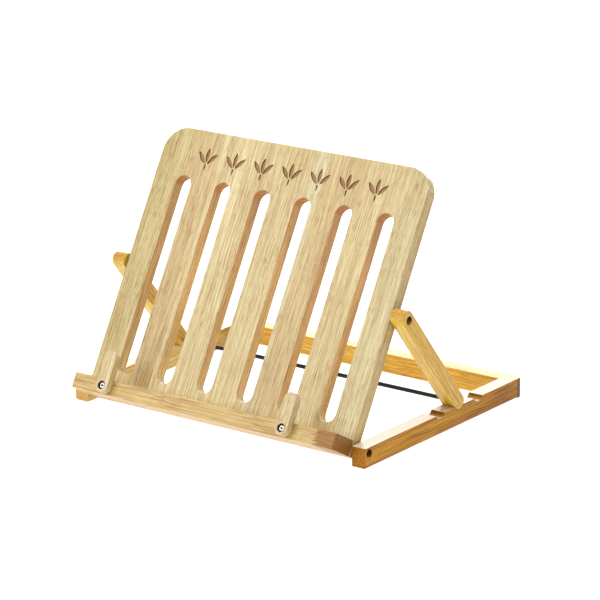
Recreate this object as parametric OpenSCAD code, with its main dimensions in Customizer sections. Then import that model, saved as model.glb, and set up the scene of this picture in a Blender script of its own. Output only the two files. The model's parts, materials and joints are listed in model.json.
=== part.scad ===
// Adjustable wooden book stand: a slatted back panel hinged in a flat base
// frame, held up by a swinging prop whose feet sit in notches.
// Units are millimetres. X runs across the stand, Y from front to back, Z up.

/* [Base frame] */
// Width over the two side rails
base_w = 340; // [320:1:360]
// Depth from the front of the side rails to the back of the rear rail
base_d = 250; // [245:1:270]
// Width of the rail section
rail_w = 15; // [14:0.5:18]
// Height of the rail section
rail_h = 19; // [18:0.5:22]
// Thickness of the rear rail's ends, which lap behind the side rails
lap_t = 6.5; // [5:0.5:7]
// Diameter of the dowels in the rear corners
dowel_d = 4; // [3:0.5:4]
// Length of those dowels
dowel_l = 24; // [18:1:30]

/* [Notches for the prop] */
// Distance of the middle notch from the front of the rails
notch_mid_y = 147.2; // [140:0.1:150]
// Distance between neighbouring notches
notch_pitch = 30.6; // [26:0.1:34]
// Depth of a notch below the top of the rail
notch_depth = 4; // [3.5:0.1:4.5]
// Clearance between a foot and its notch
notch_gap = 0.3; // [0.2:0.05:0.5]

/* [Panel hinge] */
// Distance of the hinge axis from the front of the rails
hinge_y = 5.7; // [5.5:0.1:8]
// Height of the hinge axis
hinge_z = 13.1; // [12.5:0.1:14]

/* [Back panel] */
// Width of the back panel
panel_w = 307; // [300:1:309]
// Length of the panel above the hinge axis
panel_up = 262; // [255:0.5:270]
// Length of the panel below the hinge axis
panel_down = 7.5; // [7:0.1:8]
// Thickness of the panel
panel_t = 12; // [10:0.5:13]
// Radius of its two top corners
panel_corner_r = 25; // [15:1:30]
// Number of slots
slot_n = 6; // [4:1:6]
// Distance between neighbouring slots
slot_pitch = 47.1; // [44:0.1:48]
// Width of a slot, with round ends
slot_w = 18.5; // [14:0.5:22]
// Height of the slots' lower ends above the hinge axis
slot_low = 17.8; // [16:0.1:25]
// Height of the slots' upper ends above the hinge axis
slot_high = 216; // [205:1:220]

/* [Leaf ornament] */
// Number of leaf sprigs routed above the slots
sprig_n = 7; // [5:1:7]
// Distance between neighbouring sprigs
sprig_pitch = 33; // [30:1:36]
// Height of the sprigs' roots above the hinge axis
sprig_root = 229; // [226:1:232]
// Length of one leaf
leaf_l = 15; // [10:0.5:16]
// Width of one leaf
leaf_w = 4.4; // [3:0.1:6]
// Angle between neighbouring leaves
leaf_spread = 42; // [30:1:50]
// Depth of the routing
routing_depth = 1.2; // [0.6:0.1:2]

/* [Ledge] */
// Height of the ledge, measured along the panel
ledge_h = 15; // [13:0.5:16]
// Depth of the ledge, measured out from the panel
ledge_depth = 26; // [22:1:30]
// Radius of the ledge's front corners
ledge_r = 3; // [1:0.5:5]

/* [Page holders] */
// Width of a holder, with round ends
holder_w = 14; // [12:0.5:14]
// Reach of a holder above its screw
holder_reach = 33.5; // [26:0.5:36]
// Thickness of a holder
holder_t = 8; // [7:0.5:9]
// Position of the left holder's screw across the stand
holder_left_x = -112; // [-116:1:-100]
// Position of the right holder's screw across the stand
holder_right_x = 98; // [90:1:110]
// Gap between a holder and the ledge
holder_gap = 0.2; // [0.1:0.05:0.4]

/* [Prop] */
// Distance of the prop's pivot above the hinge axis, along the panel
prop_pivot = 124.5; // [118:0.5:130]
// Width and thickness of a leg
leg_w = 15; // [14:0.5:15]
// Distance from the pivot to the centre of the foot
leg_reach = 126.5; // [124:0.5:130]
// Distance from the pivot to the leg's upper end
leg_over = 10; // [8.5:0.5:12]
// Diameter of the crossbar
bar_d = 4; // [3:0.5:5]
// Depth of the crossbar's holes in the legs
bar_socket = 10; // [8:0.5:12]

/* [Screws and washers] */
// Shank diameter of every screw
screw_d = 4; // [3.5:0.1:4]
// Length of the pivot screws under the head
pivot_screw_l = 26; // [22:1:30]
// Diameter of the recess over a pivot screw
recess_d = 8; // [7.5:0.1:8.5]
// Depth of that recess
recess_depth = 6.5; // [5:0.5:8]
// Diameter of a pivot screw's head
head_d = 7; // [6:0.1:7.2]
// Height of a pivot screw's head
head_h = 2.4; // [2:0.1:3]
// Diameter of a holder screw's head
holder_head_d = 6.6; // [6:0.1:7]
// Depth of the recess over a holder screw
holder_recess = 3.8; // [2.5:0.1:4]
// Length of the holder screws under the head
holder_screw_l = 18; // [14:1:20]
// Distance of the inner pair of ledge screws from the middle
ledge_screw_in = 40; // [20:1:60]
// Distance of the outer pair of ledge screws from the middle
ledge_screw_out = 122; // [121:1:131]
// Length of the ledge screws over all
ledge_screw_l = 30; // [26:1:32]
// Diameter of a ledge screw's countersunk head
csk_d = 8; // [7:0.1:8.5]
// Height of that head
csk_h = 2.3; // [2:0.1:3]
// Outer diameter of the pivot washers
washer_d = 9; // [8:0.1:10]
// Thickness of the pivot washers
washer_t = 1.1; // [0.8:0.1:1.2]

/* [Hidden] */
$fn = 64;

// cutters run this far past the faces that they open
over = 1;
// play of a shank that turns in its hole, and of one that is screwed in
turn_play = 0.1;
wood_play = 0.05;
// tip of a screw
tip_l = 4;
tip_d = 0.8;
// a pan head's top, as a share of its diameter
head_top_share = 0.7;
// arms of a cross recess, their span as a share of the head
cross_share = 0.62;
cross_arm = 1.1;
cross_depth = 1.4;
// stem under each sprig
stem_w = 1.8;
stem_l = 5;
leaf_start = 2;

// heights of the dowels, as shares of the rail's height
dowel_heights = [0.28, 0.72];
// facets of the widest arcs
wide_fn = 128;

half_w = base_w / 2;
side_in = half_w - rail_w;
panel_half = panel_w / 2;
gap_x = side_in - panel_half;
foot_r = leg_w / 2;
notch_r = foot_r + notch_gap;
foot_y = notch_mid_y;
foot_z = rail_h - notch_depth + notch_r;

// the triangle hinge - prop pivot - foot gives both angles at rest
reach_y = foot_y - hinge_y;
reach_z = foot_z - hinge_z;
reach = norm([reach_y, reach_z]);
hinge_corner = acos((prop_pivot ^ 2 + reach ^ 2 - leg_reach ^ 2) / (2 * prop_pivot * reach));
rest_tilt = hinge_corner + atan2(reach_z, reach_y);
pivot_y = hinge_y + prop_pivot * cos(rest_tilt);
pivot_z = hinge_z + prop_pivot * sin(rest_tilt);
leg_drop = atan2(pivot_z - foot_z, foot_y - pivot_y);

ledge_screw_x = [ledge_screw_in, ledge_screw_out];
ledge_front = panel_t / 2 + ledge_depth;
holder_back = ledge_front + holder_gap;
holder_front = holder_back + holder_t;

// the origin lies under the middle of the whole stand
front_y = hinge_y - holder_w / 2 * cos(rest_tilt) - holder_front * sin(rest_tilt);
mid_y = (base_d + front_y) / 2;

wood_pale = [0.87, 0.78, 0.60];
wood_gold = [0.90, 0.76, 0.45];
wood_brown = [0.74, 0.52, 0.28];
dowel_tan = [0.80, 0.66, 0.42];
steel = [0.72, 0.73, 0.75];
black_steel = [0.10, 0.10, 0.11];

// ---- places ----

module in_base() {
    translate([0, -mid_y, 0]) children();
}

// X across, Y up along the panel from the hinge, Z out of its front face
module in_panel() {
    in_base() translate([0, hinge_y, hinge_z]) rotate([rest_tilt, 0, 0]) children();
}

// X across, Y down along the leg from its pivot, Z out of its rear face
module in_prop() {
    in_base() translate([0, pivot_y, pivot_z]) rotate([-leg_drop, 0, 0]) children();
}

module both_sides() {
    children();
    mirror([1, 0, 0]) children();
}

// a cylinder along +X from x
module rod_x(x, d, l) {
    translate([x, 0, 0]) rotate([0, 90, 0]) cylinder(d = d, h = l);
}

// ---- shapes that repeat ----

// a bar from -low to +high along Y with round ends, centred on X
module round_bar_2d(w, low, high) {
    translate([-w / 2, w / 2 - low]) square([w, high + low - w]);
    translate([0, w / 2 - low]) circle(d = w);
    translate([0, high - w / 2]) circle(d = w);
}

module leaf_2d() {
    half = leaf_w / 2;
    r = (leaf_l ^ 2 / 4 + half ^ 2) / (2 * half);
    translate([0, leaf_start + leaf_l / 2]) intersection() {
        translate([r - half, 0]) circle(r = r, $fn = wide_fn);
        translate([half - r, 0]) circle(r = r, $fn = wide_fn);
    }
}

module cross_cut(d) {
    for (turn = [0, 90]) rotate(turn)
        translate([-d / 2, -cross_arm / 2, 0]) cube([d, cross_arm, cross_depth + over]);
}

// a screw that points down: its head stands on z = 0
module pan_screw(d, h, l) {
    difference() {
        union() {
            cylinder(d = d, h = h / 2);
            translate([0, 0, h / 2]) cylinder(d1 = d, d2 = d * head_top_share, h = h / 2);
        }
        translate([0, 0, h - cross_depth]) cross_cut(d * cross_share);
    }
    translate([0, 0, tip_l - l]) cylinder(d = screw_d, h = l - tip_l);
    translate([0, 0, -l]) cylinder(d1 = tip_d, d2 = screw_d, h = tip_l);
}

// a screw that points down: the top of its head lies on z = 0
module countersunk_screw() {
    difference() {
        translate([0, 0, -csk_h]) cylinder(d1 = screw_d, d2 = csk_d, h = csk_h);
        translate([0, 0, -cross_depth]) cross_cut(csk_d * cross_share);
    }
    translate([0, 0, tip_l - ledge_screw_l])
        cylinder(d = screw_d, h = ledge_screw_l - tip_l - csk_h);
    translate([0, 0, -ledge_screw_l]) cylinder(d1 = tip_d, d2 = screw_d, h = tip_l);
}

// a pivot screw on the X axis, driven in from +X
module pivot_screw() {
    translate([half_w - recess_depth, 0, 0]) rotate([0, 90, 0])
        pan_screw(head_d, head_h, pivot_screw_l);
}

module pivot_washer() {
    difference() {
        rod_x(side_in - (gap_x + washer_t) / 2, washer_d, washer_t);
        rod_x(panel_half - over, screw_d + 2 * turn_play, gap_x + 2 * over);
    }
}

// the hole through a rail or leg that turns on a pivot screw
module pivot_hole() {
    rod_x(side_in - over, screw_d + 2 * turn_play, rail_w + 2 * over);
    rod_x(half_w - recess_depth, recess_d, recess_depth + over);
}

// the hole for a pivot screw in the edge of the panel
module edge_pilot() {
    l = pivot_screw_l - (side_in - panel_half) - (rail_w - recess_depth) + over;
    rod_x(panel_half - l, screw_d + 2 * wood_play, l + over);
}

module dowels(play) {
    for (share = dowel_heights)
        translate([0, base_d - (rail_w + lap_t) / 2, rail_h * share])
            rod_x(side_in - dowel_l / 2 - play, dowel_d + 2 * play, dowel_l + 2 * play);
}

// ---- base frame ----

module side_rail() {
    difference() {
        translate([side_in, 0, 0]) cube([rail_w, base_d - lap_t, rail_h]);
        for (i = [-1, 0, 1])
            translate([0, notch_mid_y + i * notch_pitch, foot_z])
                rod_x(side_in - over, 2 * notch_r, rail_w + 2 * over);
        translate([0, hinge_y, hinge_z]) pivot_hole();
        dowels(wood_play);
    }
}

module right_rail() {
    color(wood_brown) in_base() side_rail();
}

module left_rail() {
    color(wood_brown) in_base() mirror([1, 0, 0]) side_rail();
}

// the rebate in each end makes room for the side rail
module rear_rail() {
    color(wood_brown) in_base() difference() {
        translate([-half_w, base_d - rail_w, 0]) cube([base_w, rail_w, rail_h]);
        both_sides() {
            translate([side_in, base_d - rail_w - over, -over])
                cube([rail_w + over, rail_w - lap_t + over, rail_h + 2 * over]);
            dowels(wood_play);
        }
    }
}

module corner_dowels() {
    color(dowel_tan) in_base() both_sides() dowels(0);
}

// ---- back panel and ledge ----

module panel_2d() {
    straight = panel_up - panel_corner_r;
    difference() {
        union() {
            translate([-panel_half, -panel_down]) square([panel_w, straight + panel_down]);
            translate([panel_corner_r - panel_half, 0])
                square([panel_w - 2 * panel_corner_r, panel_up]);
            for (side = [-1, 1])
                translate([side * (panel_half - panel_corner_r), straight])
                    circle(r = panel_corner_r, $fn = wide_fn);
        }
        for (i = [0 : slot_n - 1])
            translate([(i - (slot_n - 1) / 2) * slot_pitch, 0])
                round_bar_2d(slot_w, -slot_low, slot_high);
    }
}

module sprig_2d() {
    for (turn = [-leaf_spread, 0, leaf_spread]) rotate(turn) leaf_2d();
    round_bar_2d(stem_w, stem_l, 1);
}

module back_panel() {
    color(wood_pale) in_panel() difference() {
        translate([0, 0, -panel_t / 2]) linear_extrude(panel_t) panel_2d();
        for (i = [0 : sprig_n - 1])
            translate([(i - (sprig_n - 1) / 2) * sprig_pitch, sprig_root,
                       panel_t / 2 - routing_depth])
                linear_extrude(routing_depth + over) sprig_2d();
        both_sides() {
            edge_pilot();
            translate([0, prop_pivot, 0]) edge_pilot();
            for (x = ledge_screw_x) translate([x, 0, 0]) {
                translate([0, 0, -panel_t / 2 - over])
                    cylinder(d = screw_d + 2 * wood_play, h = panel_t + 2 * over);
                translate([0, 0, -panel_t / 2])
                    cylinder(d1 = csk_d + 2 * wood_play, d2 = screw_d + 2 * wood_play, h = csk_h);
                translate([0, 0, -panel_t / 2 - over])
                    cylinder(d = csk_d + 2 * wood_play, h = over);
            }
        }
    }
}

module ledge_2d() {
    translate([-panel_half, panel_t / 2]) square([panel_w, ledge_depth - ledge_r]);
    translate([ledge_r - panel_half, panel_t / 2]) square([panel_w - 2 * ledge_r, ledge_depth]);
    for (side = [-1, 1])
        translate([side * (panel_half - ledge_r), ledge_front - ledge_r]) circle(r = ledge_r);
}

module ledge() {
    pilot_l = holder_screw_l - holder_t + holder_recess + over;
    color(wood_pale) in_panel() difference() {
        // the outline is drawn in X and Z, then stood along Y
        translate([0, ledge_h / 2, 0]) rotate([90, 0, 0]) linear_extrude(ledge_h) ledge_2d();
        for (x = [holder_left_x, holder_right_x])
            translate([x, 0, ledge_front - pilot_l])
                cylinder(d = screw_d + 2 * wood_play, h = pilot_l + over);
        both_sides() for (x = ledge_screw_x)
            translate([x, 0, panel_t / 2 - over])
                cylinder(d = screw_d + 2 * wood_play, h = ledge_screw_l - panel_t + 2 * over);
    }
}

module ledge_screws() {
    color(steel) in_panel() both_sides() for (x = ledge_screw_x)
        translate([x, 0, -panel_t / 2]) mirror([0, 0, 1]) countersunk_screw();
}

module hinge_screws() {
    color(steel) in_panel() both_sides() pivot_screw();
}

module hinge_washers() {
    color(steel) in_panel() both_sides() pivot_washer();
}

module prop_screws() {
    color(steel) in_panel() translate([0, prop_pivot, 0]) both_sides() pivot_screw();
}

module prop_washers() {
    color(steel) in_panel() translate([0, prop_pivot, 0]) both_sides() pivot_washer();
}

// ---- page holders ----

module page_holder(x) {
    in_panel() translate([x, 0, holder_back]) difference() {
        linear_extrude(holder_t) round_bar_2d(holder_w, holder_w / 2, holder_reach);
        translate([0, 0, -over])
            cylinder(d = screw_d + 2 * turn_play, h = holder_t + 2 * over);
        translate([0, 0, holder_t - holder_recess]) cylinder(d = recess_d, h = holder_recess + over);
    }
}

module left_holder() {
    color(wood_pale) page_holder(holder_left_x);
}

module right_holder() {
    color(wood_pale) page_holder(holder_right_x);
}

module holder_screws() {
    color(steel) in_panel() for (x = [holder_left_x, holder_right_x])
        translate([x, 0, holder_front - holder_recess])
            pan_screw(holder_head_d, head_h, holder_screw_l);
}

// ---- prop ----

module leg() {
    difference() {
        // the outline is drawn in Y and Z, then laid across X
        translate([side_in, 0, 0]) rotate([90, 0, 90]) linear_extrude(leg_w)
            rotate(-90) round_bar_2d(leg_w, leg_over, leg_reach + foot_r);
        pivot_hole();
        translate([0, leg_reach, 0])
            rod_x(side_in - over, bar_d + 2 * wood_play, bar_socket + over + wood_play);
    }
}

module right_leg() {
    color(wood_gold) in_prop() leg();
}

module left_leg() {
    color(wood_gold) in_prop() mirror([1, 0, 0]) leg();
}

module crossbar() {
    l = 2 * (side_in + bar_socket);
    color(black_steel) in_prop() translate([0, leg_reach, 0]) rod_x(-l / 2, bar_d, l);
}

left_rail();
right_rail();
rear_rail();
corner_dowels();
back_panel();
ledge();
ledge_screws();
hinge_screws();
hinge_washers();
left_holder();
right_holder();
holder_screws();
left_leg();
right_leg();
crossbar();
prop_screws();
prop_washers();
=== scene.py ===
import functools
import json
import math

import bmesh
import bpy
from mathutils import Matrix, Vector

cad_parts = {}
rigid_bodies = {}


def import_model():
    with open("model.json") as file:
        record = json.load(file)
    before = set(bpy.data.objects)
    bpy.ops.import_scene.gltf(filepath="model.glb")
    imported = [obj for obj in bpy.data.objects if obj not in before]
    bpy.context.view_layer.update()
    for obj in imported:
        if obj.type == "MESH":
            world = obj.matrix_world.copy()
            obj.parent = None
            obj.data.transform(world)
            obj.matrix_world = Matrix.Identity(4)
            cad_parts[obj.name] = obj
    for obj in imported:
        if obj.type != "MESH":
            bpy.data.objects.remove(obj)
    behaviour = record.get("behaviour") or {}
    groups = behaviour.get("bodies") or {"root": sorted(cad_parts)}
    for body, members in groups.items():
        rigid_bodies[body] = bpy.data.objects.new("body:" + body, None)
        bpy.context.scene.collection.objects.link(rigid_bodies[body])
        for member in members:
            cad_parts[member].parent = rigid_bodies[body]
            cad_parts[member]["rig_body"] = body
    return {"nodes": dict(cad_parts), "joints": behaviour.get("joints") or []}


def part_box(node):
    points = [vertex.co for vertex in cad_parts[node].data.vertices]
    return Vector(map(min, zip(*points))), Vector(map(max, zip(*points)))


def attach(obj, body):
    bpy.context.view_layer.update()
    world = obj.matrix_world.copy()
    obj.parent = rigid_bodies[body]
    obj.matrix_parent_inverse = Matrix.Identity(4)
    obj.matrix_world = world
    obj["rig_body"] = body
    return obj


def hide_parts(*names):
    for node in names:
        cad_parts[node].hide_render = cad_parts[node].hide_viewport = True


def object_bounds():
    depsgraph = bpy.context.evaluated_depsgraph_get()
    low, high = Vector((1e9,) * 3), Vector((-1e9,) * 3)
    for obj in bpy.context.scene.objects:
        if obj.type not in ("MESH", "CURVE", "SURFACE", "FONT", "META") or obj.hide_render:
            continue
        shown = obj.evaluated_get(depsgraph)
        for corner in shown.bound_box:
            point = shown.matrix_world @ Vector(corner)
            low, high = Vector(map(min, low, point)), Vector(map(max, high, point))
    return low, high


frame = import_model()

CAD_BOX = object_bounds()
MM = 0.001
NODES = frame["nodes"]
JOINTS = {joint["name"]: joint for joint in frame["joints"]}

# ---- places, worked out from the frame ----

ACROSS = Vector((1, 0, 0))
BACK = Vector((0, 1, 0))
UP = Vector((0, 0, 1))
HINGE = Vector(JOINTS["panel_tilt"]["pos_m"])
PANEL_OUT = Vector(JOINTS["left_holder_turn"]["axis"]).normalized()
PANEL_UP = PANEL_OUT.cross(ACROSS)
PROP_PIVOT = Vector(JOINTS["prop_swing"]["pos_m"])
LEG_DOWN = (sum(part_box("crossbar"), Vector()) / 2 - PROP_PIVOT).normalized()
HOLDER_TURNS = [Vector(JOINTS[side + "_holder_turn"]["pos_m"]) for side in ("left", "right")]
HOLDER_X = [turn.x / MM for turn in HOLDER_TURNS]
RAIL_MIDDLE = sum(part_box("rear_rail"), Vector()).z / 2


def grain_frame(origin, side, grain):
    """A matrix whose X runs across the grain, Y along it, and Z out of the face."""
    turn = Matrix((side, grain, side.cross(grain))).transposed().to_4x4()
    return Matrix.Translation(origin) @ turn


PANEL = grain_frame(HINGE, ACROSS, PANEL_UP)
LEDGE = grain_frame(HINGE, PANEL_UP, -ACROSS)
PROP = grain_frame(PROP_PIVOT, ACROSS, LEG_DOWN)
SIDE_RAIL = grain_frame(Vector((0, 0, 0)), UP, BACK)
REAR_RAIL = grain_frame(Vector((0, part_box("rear_rail")[0].y, 0)), UP, ACROSS)


def highest_corner(node, place):
    """The greatest X, Y and Z of a CAD node in a grain frame, in millimetres."""
    back = place.inverted()
    points = [back @ v.co / MM for v in NODES[node].data.vertices]
    return Vector([max(p[i] for p in points) for i in range(3)])


PANEL_HIGH = highest_corner("back_panel", PANEL)

# ---- camera ----

VIEW_AZIMUTH = math.radians(37.34)
VIEW_ELEVATION = math.radians(16.94)
VIEW_ROLL = math.radians(-0.68)
VIEW_DISTANCE = 3.108
VIEW_TARGET = Vector((0.0136, 0.0032, 0.1022))
SENSOR = 36.0
LENS = 199.9


def make_camera():
    data = bpy.data.cameras.new("camera")
    data.sensor_width = SENSOR
    data.lens = LENS
    camera = bpy.data.objects.new("camera", data)
    bpy.context.scene.collection.objects.link(camera)
    flat = math.cos(VIEW_ELEVATION)
    back = Vector((math.sin(VIEW_AZIMUTH) * flat, -math.cos(VIEW_AZIMUTH) * flat,
                   math.sin(VIEW_ELEVATION)))
    turn = (-back).to_track_quat("-Z", "Y").to_matrix() @ Matrix.Rotation(VIEW_ROLL, 3, "Z")
    place = Matrix.Translation(VIEW_TARGET + back * VIEW_DISTANCE)
    camera.matrix_world = place @ turn.to_4x4()
    bpy.context.scene.camera = camera


# ---- light and floor ----

SKY_STRENGTH = 0.42
# each light's name, place and size in metres, and power in watts
LIGHTS = [("overhead", (0.1, 0.3, 1.9), (2.4, 2.0), 44),
          ("front_left", (-1.3, -2.2, 1.2), (1.8, 1.6), 34),
          ("backdrop", (-2.0, 2.6, 1.0), (3.6, 1.8), 104)]
FLOOR_HALF = 6
FLOOR_HEIGHT = -0.1 * MM
FLOOR_GREYS = (203, 209)
FLOOR_ROUGHNESS = 0.7
FLOOR_SPECULAR = 0.1
FLOOR_GLOW = 0.8


def soft_light(name, place, size, power):
    data = bpy.data.lights.new(name, "AREA")
    data.shape = "RECTANGLE"
    data.size, data.size_y = size
    data.energy = power
    light = bpy.data.objects.new(name, data)
    bpy.context.scene.collection.objects.link(light)
    light.location = place
    toward = VIEW_TARGET - Vector(place)
    light.rotation_euler = toward.to_track_quat("-Z", "Y").to_euler()
    light.visible_camera = False


def make_light():
    world = bpy.data.worlds.new("studio")
    world.use_nodes = True
    sky = world.node_tree.nodes["Background"]
    sky.inputs["Color"].default_value = (1, 1, 1, 1)
    sky.inputs["Strength"].default_value = SKY_STRENGTH
    bpy.context.scene.world = world
    for light in LIGHTS:
        soft_light(*light)
    bpy.context.scene.view_settings.view_transform = "Standard"


def make_floor():
    mesh = bpy.data.meshes.new("floor")
    corners = [(x * FLOOR_HALF, y * FLOOR_HALF, FLOOR_HEIGHT)
               for x, y in ((-1, -1), (1, -1), (1, 1), (-1, 1))]
    mesh.from_pydata(corners, [], [(0, 1, 2, 3)])
    floor = bpy.data.objects.new("floor", mesh)
    bpy.context.scene.collection.objects.link(floor)
    g = Graph("glowing_floor_paper")
    mottle = g.noise(g.object_point(), scale=3, detail=2)
    stops = [(place, srgb(grey, grey, grey)) for place, grey in enumerate(FLOOR_GREYS)]
    g.finish({"Base Color": g.ramp(mottle, stops)},
             {"Roughness": FLOOR_ROUGHNESS, "Specular IOR Level": FLOOR_SPECULAR,
              "Emission Color": (1, 1, 1, 1), "Emission Strength": FLOOR_GLOW})
    mesh.materials.append(g.material)


# ---- colour and material nodes ----

def srgb(red, green, blue):
    """A colour given on the usual 0 to 255 scale, as linear light."""
    def linear(value):
        value /= 255
        return value / 12.92 if value <= 0.04045 else ((value + 0.055) / 1.055) ** 2.4
    return (linear(red), linear(green), linear(blue), 1)


class Graph:
    """A material's nodes. Most calls add one node or a short chain, and return its output."""

    # how a shift moves a point of the noise, for each axis
    SHIFT = (1.0, 1.7, 0.6)

    def __init__(self, name):
        self.material = bpy.data.materials.new(name)
        self.material.use_nodes = True
        self.tree = self.material.node_tree
        self.shader = self.tree.nodes["Principled BSDF"]

    def feed(self, socket, value):
        if isinstance(value, bpy.types.NodeSocket):
            self.tree.links.new(value, socket)
        else:
            socket.default_value = value

    def add(self, kind, inputs, output=0, **settings):
        node = self.tree.nodes.new(kind)
        for key, value in settings.items():
            setattr(node, key, value)
        for key, value in inputs.items():
            self.feed(node.inputs[key], value)
        return node.outputs[output]

    # numbers

    def math(self, operation, a, b=0.0, c=0.0):
        return self.add("ShaderNodeMath", {0: a, 1: b, 2: c}, operation=operation)

    def product(self, *factors):
        return functools.reduce(lambda a, b: self.math("MULTIPLY", a, b), factors)

    def magnitude(self, value):
        return self.math("ABSOLUTE", value)

    def above(self, value, limit):
        return self.math("GREATER_THAN", value, limit)

    def below(self, value, limit):
        return self.math("LESS_THAN", value, limit)

    def step(self, value, low, high, bottom=0.0, top=1.0):
        """Goes smoothly from bottom to top as value goes from low to high."""
        inputs = {"Value": value, "From Min": low, "From Max": high,
                  "To Min": bottom, "To Max": top}
        return self.add("ShaderNodeMapRange", inputs, interpolation_type="SMOOTHSTEP")

    def fall(self, value, low, high):
        """Goes smoothly from 1 to 0 as value goes from low to high."""
        return self.step(value, low, high, 1.0, 0.0)

    # places and directions

    def vector(self, operation, a, b=(0, 0, 0)):
        output = "Value" if operation in ("DOT_PRODUCT", "LENGTH") else "Vector"
        return self.add("ShaderNodeVectorMath", {0: a, 1: b}, output, operation=operation)

    def object_point(self):
        return self.add("ShaderNodeTexCoord", {}, "Object")

    def toward(self, direction):
        """The cosine between the surface's normal and a direction."""
        normal = self.add("ShaderNodeTexCoord", {}, "Normal")
        return self.vector("DOT_PRODUCT", normal, direction)

    def off_axis(self, centre, axis):
        """The distance from a line, in millimetres."""
        reach = self.vector("SUBTRACT", self.object_point(), centre)
        metres = self.vector("LENGTH", self.vector("CROSS_PRODUCT", reach, axis))
        return self.math("DIVIDE", metres, MM)

    def point_in(self, place):
        """The point in a grain frame, in millimetres."""
        inputs = {"Vector": self.object_point(), "Location": place.translation,
                  "Rotation": place.to_euler(), "Scale": (MM, MM, MM)}
        return self.add("ShaderNodeMapping", inputs, vector_type="TEXTURE")

    def split(self, vector):
        node = self.tree.nodes.new("ShaderNodeSeparateXYZ")
        self.tree.links.new(vector, node.inputs[0])
        return node.outputs[:3]

    # patterns and colours

    def noise(self, vector, scale=1.0, detail=3.0, roughness=0.5, distortion=0.0):
        inputs = {"Vector": vector, "Scale": scale, "Detail": detail,
                  "Roughness": roughness, "Distortion": distortion}
        return self.add("ShaderNodeTexNoise", inputs, "Fac")

    def fibres(self, point, layer, shift=0):
        """One layer of noise drawn out along the grain."""
        across, along, start, detail, roughness, distortion = layer
        inputs = {"Vector": point, "Scale": (across, along, across),
                  "Location": tuple((shift + start) * part for part in self.SHIFT)}
        drawn_out = self.add("ShaderNodeMapping", inputs)
        return self.noise(drawn_out, 1.0, detail, roughness, distortion)

    def ramp(self, value, stops, interpolation="LINEAR"):
        node = self.tree.nodes.new("ShaderNodeValToRGB")
        node.color_ramp.interpolation = interpolation
        elements = node.color_ramp.elements
        while len(elements) < len(stops):
            elements.new(0.5)
        for element, (place, colour) in zip(elements, stops):
            element.position = place
            element.color = colour
        self.feed(node.inputs[0], value)
        return node.outputs[0]

    def mix(self, share, a, b, blend="MIX"):
        node = self.tree.nodes.new("ShaderNodeMix")
        node.data_type = "RGBA"
        node.blend_type = blend
        for index, value in ((0, share), (6, a), (7, b)):
            self.feed(node.inputs[index], value)
        return node.outputs[2]

    def tint(self, share, colour, by):
        return self.mix(share, colour, by, "MULTIPLY")

    def bump(self, height, distance):
        inputs = {"Height": height, "Distance": distance, "Strength": 1.0}
        return self.add("ShaderNodeBump", inputs)

    def finish(self, links, values):
        for key, value in {**links, **values}.items():
            self.feed(self.shader.inputs[key], value)


# ---- wood ----

# pale, middle and dark grain of each wood
CREAM = [srgb(214, 205, 170), srgb(197, 184, 143), srgb(170, 146, 102)]
HOLDER = [srgb(212, 196, 154), srgb(196, 176, 130), srgb(170, 144, 94)]
TAN = [srgb(204, 180, 118), srgb(190, 160, 98), srgb(160, 122, 66)]
PALE_TAN = [srgb(222, 196, 126), srgb(208, 178, 106), srgb(178, 138, 70)]
GOLD = [srgb(224, 192, 80), srgb(208, 170, 56), srgb(168, 122, 32)]
BROWN = [srgb(196, 144, 36), srgb(176, 120, 20), srgb(126, 74, 10)]
ORANGE = [srgb(226, 186, 70), srgb(208, 158, 50), srgb(176, 118, 30)]
TONE_PLACES = (0.41, 0.50, 0.60)

# colours laid over the grain
PORE = srgb(140, 92, 48)
BURNT = srgb(84, 40, 10)
ROUTED = srgb(146, 104, 56)
# painted shade on the ledge's lower arris, the rails' top arrises and undersides, and the rear
# rail's rounded corners
EDGE_SHADE = srgb(92, 52, 22)
# painted reflection that turns the rails' upward faces pale
TOP_SHEEN = srgb(228, 218, 200)
END_GRAIN = srgb(74, 36, 14)
IN_SHADE = srgb(70, 44, 22)

# tints that the grain is multiplied by; above 255 they brighten it
# painted shadow over the ledge's right end
LEDGE_END_SHADOW = srgb(200, 166, 108)
# painted bounce light on the slot walls, and painted shade towards their tops
SLOT_WALL_BOUNCE_LIGHT = srgb(272, 218, 84)
SLOT_TOP_SHADE = srgb(236, 176, 52)
# painted light that brightens the panel near its foot, just above the ledge
PANEL_FOOT_LIGHT = srgb(276, 280, 284)
END_TINT = srgb(214, 192, 168)
# painted shade on the panel's outer side and on the legs' sides
SIDE_SHADE = srgb(232, 218, 196)
# painted shade that darkens the rails' sides toward the back
SIDE_SHADE_TO_BACK = srgb(206, 190, 150)

# layers of noise: scale across and along the grain per millimetre, start, detail,
# roughness and distortion
BANDS = (0.05, 0.003, 0, 4, 0.55, 0.4)
STREAKS = (0.55, 0.007, 7, 5, 0.6, 0.1)
THREADS = (1.5, 0.022, 13, 2, 0.6, 0.0)
LONG_PORES = (1.25, 0.085, 21, 1, 0.4, 0.0)
SHORT_PORES = (2.0, 0.16, 29, 1, 0.4, 0.0)
PORE_PATCHES = (0.08, 0.02, 31, 2, 0.5, 0.0)
RAGGED_EDGE = (0.5, 0.08, 5, 4, 0.7, 0.0)

BAND_SHARE = 0.18
STREAK_SHARE = 0.24
THREAD_SHARE = 0.58
LONG_PORE_RISE = (0.58, 0.68)
SHORT_PORE_RISE = (0.60, 0.70)
SHORT_PORE_SHARE = 0.8
PATCH_RISE = (0.3, 0.65)
PATCH_LEAST = 0.35
PORE_SHARE = 0.6

# cosines to the grain between which the end grain sets in
END_FACING = (0.55, 0.95)
END_SHARE = 0.6

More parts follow.
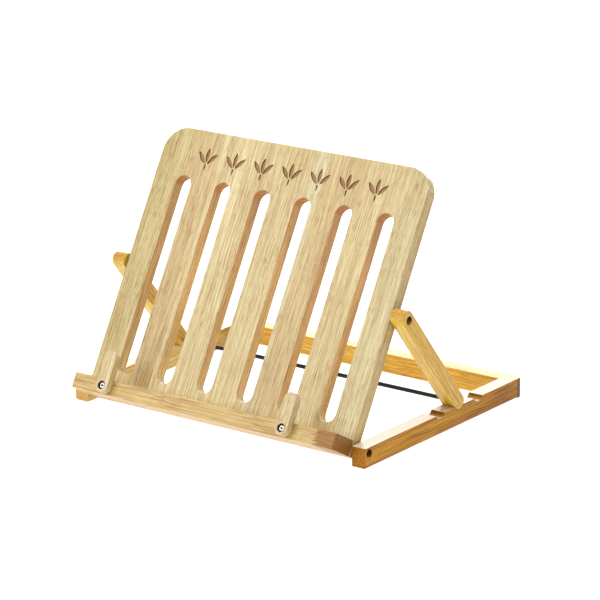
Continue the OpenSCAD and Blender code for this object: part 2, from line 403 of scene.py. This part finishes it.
THREAD_RANGE = (0.2, 0.8)
WOOD_ROUGHNESS = (0.34, 0.48)
THREAD_HEIGHT = 0.25
WOOD_BUMP = 0.05 * MM
WOOD_IOR = 1.45
WOOD_GLOSS = 0.3
RAIL_GLOSS = 0.05
REAR_GLOSS = 0.1
COAT_ROUGHNESS = 0.14
PANEL_COAT = 0.15
FRAME_COAT = 0.2
REAR_COAT = 0.3
NO_COAT = 0.0

# where each piece's grain starts in the noise
GRAIN_START = {"back_panel": 0, "ledge": 40, "left_holder": 90, "right_holder": 110,
               "left_rail": 130, "right_rail": 170, "rear_rail": 210,
               "left_leg": 250, "right_leg": 290, "corner_dowels": 330}


def wood_tone(g, point, shift, tones):
    """Straight grain along Y: bands, streaks and threads. Returns the colour and the threads."""
    bands = g.fibres(point, BANDS, shift)
    streaks = g.fibres(point, STREAKS, shift)
    threads = g.fibres(point, THREADS, shift)
    blend = g.math("MULTIPLY_ADD", bands, BAND_SHARE, g.product(streaks, STREAK_SHARE))
    blend = g.math("MULTIPLY_ADD", threads, THREAD_SHARE, blend)
    return g.ramp(blend, list(zip(TONE_PLACES, tones))), threads


def pores(g, point, shift):
    """Short dark vessel lines along the grain, from 0 to 1."""
    long_ones = g.step(g.fibres(point, LONG_PORES, shift), *LONG_PORE_RISE)
    short_ones = g.step(g.fibres(point, SHORT_PORES, shift), *SHORT_PORE_RISE)
    patches = g.step(g.fibres(point, PORE_PATCHES, shift), *PATCH_RISE, PATCH_LEAST, 1.0)
    both = g.math("MAXIMUM", long_ones, g.product(short_ones, SHORT_PORE_SHARE))
    return g.product(both, patches)


def wood(name, node, place, tones, coat, extra=None, gloss=WOOD_GLOSS):
    """A lacquered light hardwood for one node, with its grain along the Y of a grain
    frame. extra(g, point, colour) may paint over the grain."""
    g = Graph(name)
    shift = GRAIN_START[node]
    point = g.point_in(place)
    colour, threads = wood_tone(g, point, shift, tones)
    vessels = pores(g, point, shift)
    colour = g.mix(g.product(vessels, PORE_SHARE), colour, PORE)
    grain = place.to_3x3() @ Vector((0, 1, 0))
    end = g.step(g.magnitude(g.toward(grain)), *END_FACING)
    colour = g.tint(g.product(end, END_SHARE), colour, END_TINT)
    if extra:
        colour = extra(g, point, colour)
    rough = g.step(threads, *THREAD_RANGE, *WOOD_ROUGHNESS)
    height = g.math("MULTIPLY_ADD", threads, THREAD_HEIGHT, g.product(vessels, -1))
    g.finish({"Base Color": colour, "Roughness": rough, "Normal": g.bump(height, WOOD_BUMP)},
             {"Coat Weight": coat, "Coat Roughness": COAT_ROUGHNESS, "IOR": WOOD_IOR,
              "Specular IOR Level": gloss})
    return g.material


# ---- paint over the grain ----

# Lengths are in millimetres. A name that ends in FACING is the two cosines, between the
# surface's normal and a direction, where a paint starts to change and has changed. A name
# that ends in SHARE is how much of a paint is laid on.

# left edge of each stave of the back panel, and its tint
STAVES = [(-160, (237, 228, 199)), (-122, (240, 224, 200)), (-86, (255, 248, 232)),
          (-34, (250, 240, 222)), (24, (255, 255, 252)), (37, (246, 232, 210)),
          (81, (250, 240, 220)), (128, (246, 240, 224))]
STAVE_SPAN = 320

WALL_FACING = (0.15, 0.6)
WALL_UP_FACING = (-0.2, 0.3)
WALL_INSET = 2
WALL_LEAST_SHARE = 0.6
SIDE_INSET = 1

# the routed leaves lie between two heights on the panel, and this far off its middle
ORNAMENT_LOW = 226
ORNAMENT_HALF = 125
TOP_MARGIN = 4
CUT_DEPTHS = (0.8, 0.1)
CUT_FACING = (0.3, 0.9)
CUT_SHARE = 0.92

# heights on the panel between which its tints change
WALL_RISE = (20, 210)
WALL_TURN = (110, 215)
FOOT_FADE = (16, 50)

# where the painted shadow on the ledge's right end begins, how ragged its edge is, and how soft
SHADOW_START = 131
SHADOW_EDGE_SPREAD = 30
SHADOW_EDGE_BLUR = 1.5
# where the painted shade on the ledge's lower arris lies
LEDGE_UP_FACING = (-0.4, -0.2)
LEDGE_OUT_FACING = (0.1, 0.25)
EDGE_SHARE = 0.8

LEG_SIDE_FACING = (0.4, 0.9)
LEG_SIDE_SHARE = 0.7

RAIL_SIDE_FACING = (0.4, 0.8)
REAR_FADE = (0, 110)
REAR_FADE_SHARE = 0.7
# where the painted reflection on the rails' tops sets in, and how much
TOP_SHEEN_FACING = (0.92, 0.99)
TOP_SHEEN_SHARE = 0.6
ARRIS_RISE_FACING = (0.3, 0.45)
ARRIS_FALL_FACING = (0.75, 0.9)
ARRIS_SHARE = 0.7
UNDERSIDE_FACING = (-0.6, -0.15)

REAR_END_FACING = (0.3, 0.8)
REAR_END_SHARE = 0.95
# where the painted shade on the rear rail's rounded corners lies, and how much
CORNER_RISE_FACING = (0.1, 0.4)
CORNER_FALL_FACING = (0.8, 0.95)
CORNER_SHARE = 0.6

RECESS_R = 4.05
RECESS_BLUR = 0.2
UNLIT_SHARE = 0.95
UNLIT_FACING = (-0.5, 0.0)
# faces in a screw recess that look this way are unlit
UNLIT = Vector((0.8, 0, -0.6))


def panel_paint(g, point, colour):
    """Staves of slightly different tint, painted bounce light and shade on the slot walls,
    painted light at the foot, painted shade on the outer side, and the burnt routing.
    """
    across, along, out = g.split(point)
    off_middle = g.magnitude(across)
    face_on = g.magnitude(g.toward(PANEL_OUT))

    place = g.math("MULTIPLY_ADD", across, 1 / STAVE_SPAN, 0.5)
    stops = [(x / STAVE_SPAN + 0.5, srgb(*tint)) for x, tint in STAVES]
    colour = g.tint(1.0, colour, g.ramp(place, stops, "CONSTANT"))

    # painted bounce light on the slot walls, turning to painted shade near their tops
    wall = g.product(g.fall(face_on, *WALL_FACING),
                     g.below(off_middle, PANEL_HIGH.x - WALL_INSET),
                     g.fall(g.toward(PANEL_UP), *WALL_UP_FACING),
                     g.step(along, *WALL_RISE, WALL_LEAST_SHARE, 1.0))
    wall_light_and_shade = g.mix(g.step(along, *WALL_TURN), SLOT_WALL_BOUNCE_LIGHT, SLOT_TOP_SHADE)
    colour = g.tint(wall, colour, wall_light_and_shade)
    # painted light near the panel's foot
    colour = g.tint(g.fall(along, *FOOT_FADE), colour, PANEL_FOOT_LIGHT)
    # painted shade on the panel's outer side
    colour = g.tint(g.above(across, PANEL_HIGH.x - SIDE_INSET), colour, SIDE_SHADE)

    cut = g.product(g.fall(out, *(PANEL_HIGH.z - depth for depth in CUT_DEPTHS)),
                    g.above(along, ORNAMENT_LOW),
                    g.below(along, PANEL_HIGH.y - TOP_MARGIN),
                    g.below(off_middle, ORNAMENT_HALF),
                    g.above(out, 0))
    tone = g.mix(g.step(face_on, *CUT_FACING), BURNT, ROUTED)
    return g.mix(g.product(cut, CUT_SHARE), colour, tone)


def ledge_paint(g, point, colour):
    """The ledge's right end is darkened by a painted shadow with a ragged edge, and its lower
    arris by painted shade.
    """
    # painted shadow over the right end, with a ragged edge
    rightward = g.product(g.split(point)[1], -1)
    ragged = g.fibres(point, RAGGED_EDGE)
    edge = g.math("MULTIPLY_ADD", ragged, SHADOW_EDGE_SPREAD, SHADOW_START - SHADOW_EDGE_SPREAD / 2)
    dark = g.step(g.math("SUBTRACT", rightward, edge), -SHADOW_EDGE_BLUR, SHADOW_EDGE_BLUR)
    colour = g.tint(dark, colour, LEDGE_END_SHADOW)
    # painted shade along the lower arris
    lower_arris = g.product(g.fall(g.toward(PANEL_UP), *LEDGE_UP_FACING),
                            g.step(g.toward(PANEL_OUT), *LEDGE_OUT_FACING))
    return g.mix(g.product(lower_arris, EDGE_SHARE), colour, EDGE_SHADE)


def bored(centre, axis):
    """Paint for the unlit inside of a screw recess."""
    def paint(g, point, colour):
        inside = g.step(g.off_axis(centre, axis), RECESS_R, RECESS_R + RECESS_BLUR,
                        UNLIT_SHARE, 0.0)
        unlit = g.step(g.toward(UNLIT), *UNLIT_FACING)
        return g.mix(g.product(inside, unlit), colour, IN_SHADE)
    return paint


def leg_paint(g, point, colour):
    """The sides are painted a little darker than the front as painted shade, and the screw
    recess is unlit.
    """
    side = g.step(g.magnitude(g.toward(ACROSS)), *LEG_SIDE_FACING)
    colour = g.tint(g.product(side, LEG_SIDE_SHARE), colour, SIDE_SHADE)
    return bored(PROP_PIVOT, ACROSS)(g, point, colour)


def rail_paint(g, point, colour):
    """The sides are painted darker toward the back as painted shade, the top is painted pale as
    a painted reflection, and the top arrises and the underside are painted darker as painted
    shade; the screw recess is unlit."""
    rising = g.toward(UP)
    # painted shade on the sides, deeper toward the back
    side = g.product(g.step(g.magnitude(g.toward(ACROSS)), *RAIL_SIDE_FACING),
                     g.step(g.split(point)[1], *REAR_FADE, 0.0, REAR_FADE_SHARE))
    colour = g.tint(side, colour, SIDE_SHADE_TO_BACK)
    # painted reflection on the upward faces
    top_sheen = g.step(rising, *TOP_SHEEN_FACING, 0.0, TOP_SHEEN_SHARE)
    colour = g.mix(top_sheen, colour, TOP_SHEEN)
    # painted shade on the top arrises and the underside
    top_arris = g.product(g.step(rising, *ARRIS_RISE_FACING),
                          g.fall(rising, *ARRIS_FALL_FACING))
    underside = g.fall(rising, *UNDERSIDE_FACING)
    edge_shade_mask = g.math("MAXIMUM", underside, g.product(top_arris, ARRIS_SHARE))
    colour = g.mix(g.product(edge_shade_mask, EDGE_SHARE), colour, EDGE_SHADE)
    return bored(HINGE, ACROSS)(g, point, colour)


def rear_paint(g, point, colour):
    """The rear rail's end grain shows at the sides, darker than the rails beside it; its rounded
    rear corners are painted darker as painted shade.
    """
    end = g.step(g.magnitude(g.toward(ACROSS)), *REAR_END_FACING)
    backward = g.toward(BACK)
    # painted shade where the rounded corners turn to the back
    rounded = g.product(g.step(backward, *CORNER_RISE_FACING),
                        g.fall(backward, *CORNER_FALL_FACING))
    colour = g.mix(g.product(end, REAR_END_SHARE), colour, END_GRAIN)
    return g.mix(g.product(rounded, CORNER_SHARE), colour, EDGE_SHADE)


# ---- metal ----

GREY = srgb(188, 188, 188)
NICKEL = srgb(214, 214, 216)
ZINC = srgb(176, 178, 182)
UNLIT_STEEL = srgb(24, 24, 26)
BLACK = [srgb(14, 13, 13), srgb(24, 23, 22)]
MARKS_PER_METRE = 2500
PEEL_PER_METRE = 900
METAL_BUMP = 0.02 * MM
MIDDLE_NOISE = (0.3, 0.7)
MARK_SHARE = 0.25
MARK_ROUGHNESS = 0.12
NICKEL_ROUGHNESS = 0.22
ZINC_ROUGHNESS = 0.3
PAINT_ROUGHNESS = (0.4, 0.55)
PAINT_GLOSS = 0.25
CROSS_HALF_WIDTH = 0.62
CROSS_HALF_LENGTH = 2.1


def metal(name, colour, roughness, extra=None):
    """Plated steel with fine turning marks."""
    g = Graph(name)
    marks = g.noise(g.object_point(), MARKS_PER_METRE, detail=4, roughness=0.6)
    tone = g.tint(g.step(marks, *MIDDLE_NOISE, 0.0, MARK_SHARE), colour, GREY)
    rough = g.step(marks, *MIDDLE_NOISE, roughness, roughness + MARK_ROUGHNESS)
    if extra:
        tone = extra(g, tone)
    g.finish({"Base Color": tone, "Roughness": rough, "Normal": g.bump(marks, METAL_BUMP)},
             {"Metallic": 1.0})
    return g.material


def dark_cross(g, tone):
    """The unlit cross recess of each page holder screw."""
    across, along = g.split(g.point_in(PANEL))[:2]
    offsets = [g.magnitude(g.math("SUBTRACT", across, x)) for x in HOLDER_X]
    sideways = g.math("MINIMUM", *offsets)
    upright = g.magnitude(along)
    narrow = g.below(g.math("MINIMUM", sideways, upright), CROSS_HALF_WIDTH)
    short = g.below(g.math("MAXIMUM", sideways, upright), CROSS_HALF_LENGTH)
    return g.mix(g.product(narrow, short), tone, UNLIT_STEEL)


def black_paint():
    g = Graph("satin_black_paint")
    peel = g.noise(g.object_point(), PEEL_PER_METRE)
    tone = g.ramp(peel, list(zip(MIDDLE_NOISE, BLACK)))
    rough = g.step(peel, *MIDDLE_NOISE, *PAINT_ROUGHNESS)
    g.finish({"Base Color": tone, "Roughness": rough, "Normal": g.bump(peel, METAL_BUMP)},
             {"Specular IOR Level": PAINT_GLOSS})
    return g.material


# ---- pieces ----

WELD = 0.001 * MM
FLAT_ANGLE = math.radians(0.6)
SHARP_ANGLE = math.radians(35)
SHADE_ANGLE = math.radians(40)
BEVEL_SEGMENTS = 3
EDGE_MARGIN = 0.5 * MM

# radii in millimetres
PANEL_ARRIS = 0.8
LEDGE_ARRIS = 1.0
HOLDER_ARRIS = 0.7
HOLDER_MOUTH = 0.2
BORE_MOUTH = 0.4
RAIL_ARRIS = 0.6
RAIL_FOOT = 2.0
REAR_CORNER = 2.5
LEG_ARRIS = 1.1


def sharp_edges(bm):
    return [e for e in bm.edges if e.is_manifold and e.calc_face_angle(0) > SHARP_ANGLE]


def piece(node, material, rounds):
    """A copy of a CAD node with rounded arrises. rounds pairs a radius in millimetres
    with a test on an edge's middle, or with None for every sharp edge that is left."""
    bm = bmesh.new()
    bm.from_mesh(NODES[node].data)
    bmesh.ops.remove_doubles(bm, verts=bm.verts, dist=WELD)
    bmesh.ops.dissolve_limit(bm, angle_limit=FLAT_ANGLE, verts=bm.verts, edges=bm.edges)
    for radius, wanted in rounds:
        edges = [e for e in sharp_edges(bm)
                 if wanted is None or wanted((e.verts[0].co + e.verts[1].co) / 2)]
        bmesh.ops.bevel(bm, geom=edges, offset=radius * MM, offset_type="OFFSET",
                        segments=BEVEL_SEGMENTS, profile=0.5, affect="EDGES",
                        clamp_overlap=True)
    mesh = bpy.data.meshes.new(node + "_finished")
    bm.to_mesh(mesh)
    bm.free()
    mesh.shade_smooth()
    mesh.set_sharp_from_angle(angle=SHADE_ANGLE)
    mesh.materials.append(material)
    made = bpy.data.objects.new(node + "_finished", mesh)
    bpy.context.scene.collection.objects.link(made)
    weighted = made.modifiers.new("weighted", "WEIGHTED_NORMAL")
    weighted.keep_sharp = True
    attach(made, NODES[node]["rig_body"])
    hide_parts(node)


def bore_mouth(centre, axis):
    """A test for edges round a screw recess."""
    def test(middle):
        return (middle - centre).cross(axis).length < RECESS_R * MM + EDGE_MARGIN
    return test


def at_side(middle):
    return abs(middle.x) > CAD_BOX[1].x - EDGE_MARGIN


def rail_outer_foot(middle):
    """A test for a side rail's lowest outer edge."""
    return middle.z < EDGE_MARGIN and at_side(middle)


def rear_corner(middle):
    """A test for the upright edges at the rear corners of the base frame."""
    upright = abs(middle.z - RAIL_MIDDLE) < MM
    return upright and at_side(middle) and middle.y > CAD_BOX[1].y - EDGE_MARGIN


def off_ornament(middle):
    """A test for the panel's edges outside the routed leaves."""
    p = PANEL.inverted() @ middle / MM
    return not (ORNAMENT_LOW < p.y < PANEL_HIGH.y - TOP_MARGIN and p.z > 1)


def make_panel():
    panel = wood("panel_wood", "back_panel", PANEL, CREAM, PANEL_COAT, panel_paint)
    piece("back_panel", panel, [(PANEL_ARRIS, off_ornament)])
    ledge = wood("ledge_wood", "ledge", LEDGE, TAN, PANEL_COAT, ledge_paint)
    piece("ledge", ledge, [(LEDGE_ARRIS, None)])
    for node, turn in zip(("left_holder", "right_holder"), HOLDER_TURNS):
        paint = bored(turn, PANEL_OUT)
        holder = wood(node + "_wood", node, PANEL, HOLDER, PANEL_COAT, paint)
        rounds = [(HOLDER_MOUTH, bore_mouth(turn, PANEL_OUT)), (HOLDER_ARRIS, None)]
        piece(node, holder, rounds)


def make_base():
    rounds = [(BORE_MOUTH, bore_mouth(HINGE, ACROSS)), (RAIL_FOOT, rail_outer_foot),
              (RAIL_ARRIS, None)]
    for node, tones in (("left_rail", PALE_TAN), ("right_rail", BROWN)):
        rail = wood(node + "_wood", node, SIDE_RAIL, tones, FRAME_COAT, rail_paint, RAIL_GLOSS)
        piece(node, rail, rounds)
    rear = wood("rear_rail_wood", "rear_rail", REAR_RAIL, ORANGE, REAR_COAT, rear_paint,
                REAR_GLOSS)
    piece("rear_rail", rear, [(REAR_CORNER, rear_corner), (RAIL_ARRIS, None)])


def make_legs():
    rounds = [(BORE_MOUTH, bore_mouth(PROP_PIVOT, ACROSS)), (LEG_ARRIS, None)]
    for node in ("left_leg", "right_leg"):
        leg = wood(node + "_wood", node, PROP, GOLD, FRAME_COAT, leg_paint)
        piece(node, leg, rounds)


def finish_nodes():
    """The CAD nodes whose shape is right keep it, and get their finish."""
    nickel = metal("bright_nickel", NICKEL, NICKEL_ROUGHNESS, dark_cross)
    zinc = metal("zinc_plate", ZINC, ZINC_ROUGHNESS)
    dowel = wood("dowel_wood", "corner_dowels", REAR_RAIL, CREAM, NO_COAT)
    finishes = {"holder_screws": nickel, "hinge_screws": zinc, "prop_screws": zinc,
                "ledge_screws": zinc, "hinge_washers": zinc, "prop_washers": zinc,
                "crossbar": black_paint(), "corner_dowels": dowel}
    for node, material in finishes.items():
        mesh = NODES[node].data
        mesh.materials.clear()
        mesh.materials.append(material)


make_camera()
make_light()
make_floor()
make_panel()
make_base()
make_legs()
finish_nodes()
